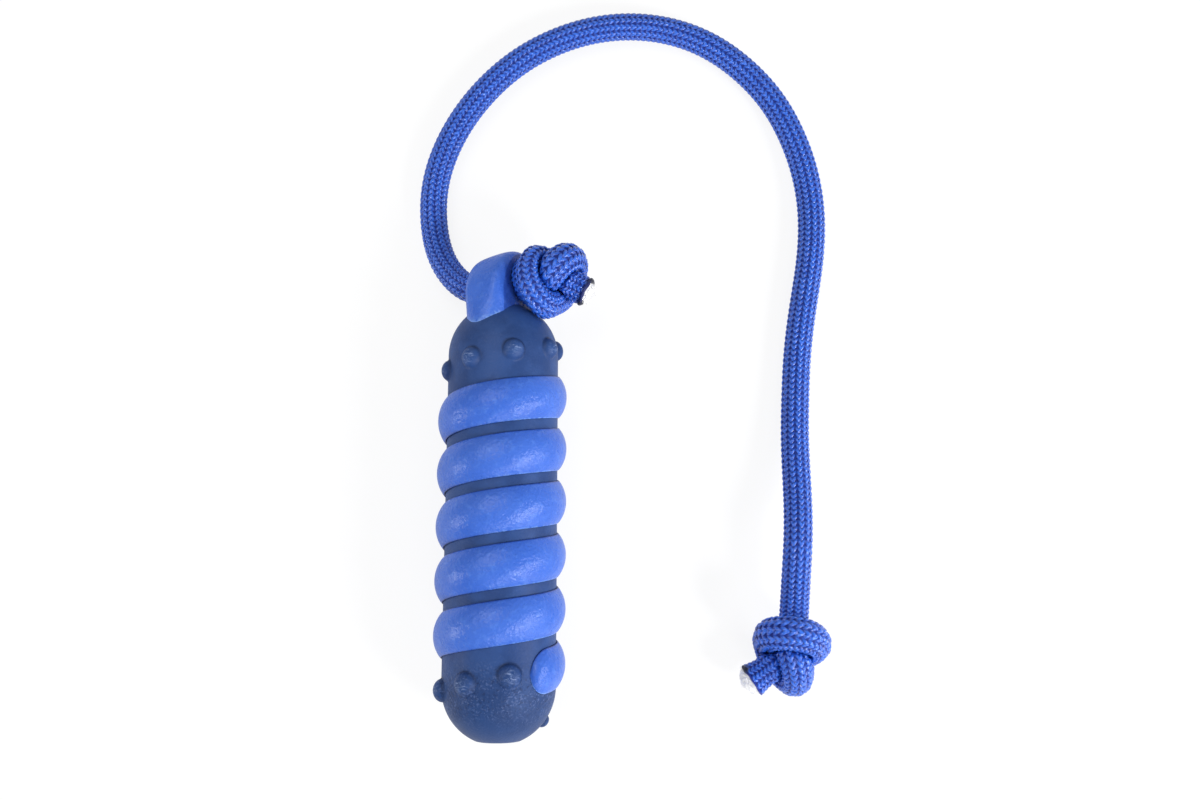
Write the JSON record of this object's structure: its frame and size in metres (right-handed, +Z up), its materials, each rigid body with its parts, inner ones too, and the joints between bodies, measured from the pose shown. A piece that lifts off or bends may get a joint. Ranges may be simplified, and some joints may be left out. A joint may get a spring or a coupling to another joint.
{
  "type": "rope chew toy",
  "caption": "Rubber chew stick with a raised spiral band and nubs, and a braided throwing rope held through its moulded eye by a stop knot, with a grip knot at the far end.",
  "frame": {"origin": "on the floor, under the middle of the stick's length", "axes": "+Y along the stick towards its rope eye, +Z up from the floor it lies on"},
  "size_m": [0.1755, 0.3122, 0.0516],
  "materials": {
    "navy_rubber": "fine matt grain",
    "light_blue_rubber": "satin with shallow mottling",
    "rope_sheath": "braided filament with a slight sheen",
    "rope_core": "loose white filament"
  },
  "bodies": {
    "stick": {"core_stick": "navy_rubber", "spiral_band": "light_blue_rubber", "rope_eye": "light_blue_rubber"},
    "rope": {"rope_run": "rope_sheath", "stop_knot": "rope_sheath", "end_knot": "rope_sheath", "stop_tail_core": "rope_core", "end_tail_core": "rope_core"}
  },
  "joints": [
    {"name": "rope_swing", "type": "hinge", "parent": "stick", "child": "rope", "pos_m": [0, 0.08375, 0.0258], "axis": [0.866, 0, 0.5], "range_deg": [-120, 120]}
  ]
}
